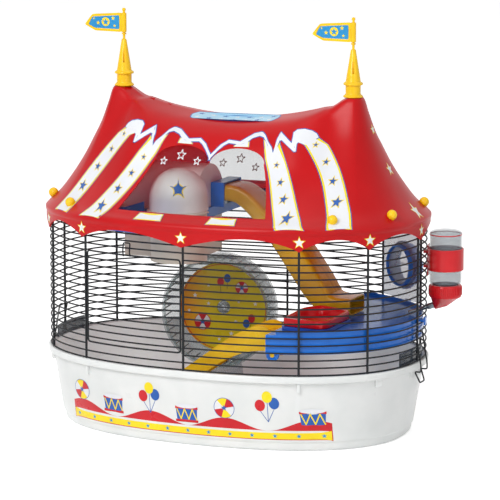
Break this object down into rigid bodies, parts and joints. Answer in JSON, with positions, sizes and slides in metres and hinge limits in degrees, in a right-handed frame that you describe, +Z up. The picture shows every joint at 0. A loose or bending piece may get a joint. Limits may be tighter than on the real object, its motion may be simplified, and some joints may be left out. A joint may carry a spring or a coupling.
{
  "type": "hamster cage",
  "caption": "Oval small-animal cage with a tent-shaped roof, wire walls, exercise wheel, ramp, raised deck, food bowl, den with chute, drinking bottle and tube port.",
  "frame": {"origin": "middle of the basin's flat underside, on the surface that the cage stands on", "axes": "+X along the cage's long axis towards the bottle end, +Y to the back, +Z up; the front door faces -Y"},
  "size_m": [0.5368, 0.343, 0.521],
  "materials": {
    "basin_plastic": "moulded, semi-gloss",
    "black_wire": "powder-coated",
    "roof_red": "moulded, glossy, printed stripes",
    "yellow_plastic": "moulded, glossy",
    "blue_plastic": "moulded, glossy",
    "red_plastic": "moulded, glossy",
    "smoke_plastic": "moulded, smoky",
    "clear_plastic": "moulded, clear",
    "pane_plastic": "formed sheet, smoky blue",
    "frosted_plastic": "moulded, translucent",
    "amber_plastic": "moulded, translucent",
    "printed_plastic": "printed sheet",
    "tube_steel": "drawn tube",
    "seal_rubber": "moulded"
  },
  "bodies": {
    "cage": {"basin": "basin_plastic", "wire_right_back_end": "black_wire", "wire_right_back_port": "black_wire", "wire_back_right": "black_wire", "wire_back_left": "black_wire", "wire_left_back": "black_wire", "wire_left_back_end": "black_wire", "wire_left_front_end": "black_wire", "wire_left_front": "black_wire", "wire_front_door": "black_wire", "wire_front_right": "black_wire", "wire_right_front": "black_wire", "wire_right_front_end": "black_wire", "bracket_right": "smoke_plastic", "bracket_left": "smoke_plastic", "deck": "blue_plastic", "bowl_holder": "blue_plastic", "loft_deck": "blue_plastic", "den_tub": "frosted_plastic", "den_dome": "frosted_plastic", "chute": "amber_plastic", "chute_collar": "blue_plastic", "wheel_stand": "clear_plastic", "port_plate": "clear_plastic", "port_ring": "blue_plastic"},
    "tent_roof": {"roof": "roof_red", "pane_front": "pane_plastic", "pane_back": "pane_plastic", "stud_right_back_side": "yellow_plastic", "stud_left_back_side": "yellow_plastic", "stud_left_front_side": "yellow_plastic", "stud_right_front_side": "yellow_plastic", "stud_right_back_end": "yellow_plastic", "stud_left_back_end": "yellow_plastic", "stud_left_front_end": "yellow_plastic", "stud_right_front_end": "yellow_plastic", "spire_left": "yellow_plastic", "spire_right": "yellow_plastic"},
    "left_flag": {"flag_frame_left": "yellow_plastic", "flag_panel_left": "blue_plastic"},
    "right_flag": {"flag_frame_right": "yellow_plastic", "flag_panel_right": "blue_plastic"},
    "door": {"front_door": "black_wire"},
    "wheel": {"wheel_drum": "clear_plastic", "wheel_disc": "printed_plastic", "wheel_hub": "clear_plastic"},
    "right_bail": {"bail_right": "black_wire"},
    "left_bail": {"bail_left": "black_wire"},
    "tube_cap": {"port_cap": "clear_plastic"},
    "ramp_body": {"ramp": "yellow_plastic"},
    "food_bowl": {"bowl": "red_plastic"},
    "drinker": {"bottle": "clear_plastic", "bottle_cap": "red_plastic", "cap_seal": "seal_rubber", "drinking_tube": "tube_steel", "tube_ball": "tube_steel", "bottle_strap": "red_plastic"}
  },
  "joints": [
    {"name": "roof_lift", "type": "slide", "parent": "cage", "child": "tent_roof", "axis": [0, 0, 1], "range_m": [0, 0.08]},
    {"name": "left_flag_turn", "type": "hinge", "parent": "tent_roof", "child": "left_flag", "pos_m": [-0.156, 0, 0.5], "axis": [0, 0, 1], "continuous": true},
    {"name": "right_flag_turn", "type": "hinge", "parent": "tent_roof", "child": "right_flag", "pos_m": [0.156, 0, 0.5], "axis": [0, 0, 1], "continuous": true},
    {"name": "door_swing", "type": "hinge", "parent": "cage", "child": "door", "pos_m": [-0.0716, -0.15357, 0.11908], "axis": [0.9873, -0.1586, 0], "range_deg": [0, 120]},
    {"name": "wheel_spin", "type": "hinge", "parent": "cage", "child": "wheel", "pos_m": [-0.038, 0.032, 0.13552], "axis": [0.1564, -0.9877, 0], "continuous": true},
    {"name": "right_bail_swing", "type": "hinge", "parent": "cage", "child": "right_bail", "pos_m": [0.2454, 0, 0.13446], "axis": [0, -1, 0], "range_deg": [0, 160]},
    {"name": "left_bail_swing", "type": "hinge", "parent": "cage", "child": "left_bail", "pos_m": [-0.2454, 0, 0.13446], "axis": [0, 1, 0], "range_deg": [0, 160]},
    {"name": "cap_pull", "type": "slide", "parent": "cage", "child": "tube_cap", "axis": [0.5766, 0.817, 0], "range_m": [0, 0.025]},
    {"name": "ramp_swing", "type": "hinge", "parent": "cage", "child": "ramp_body", "pos_m": [0.11, 0, 0.122], "axis": [0, 1, 0], "range_deg": [0, 9]},
    {"name": "bowl_lift", "type": "slide", "parent": "cage", "child": "food_bowl", "axis": [0, 0, 1], "range_m": [0, 0.03]},
    {"name": "bottle_pull", "type": "slide", "parent": "cage", "child": "drinker", "axis": [0.9174, 0.2287, 0.3256], "range_m": [0, 0.06]}
  ]
}
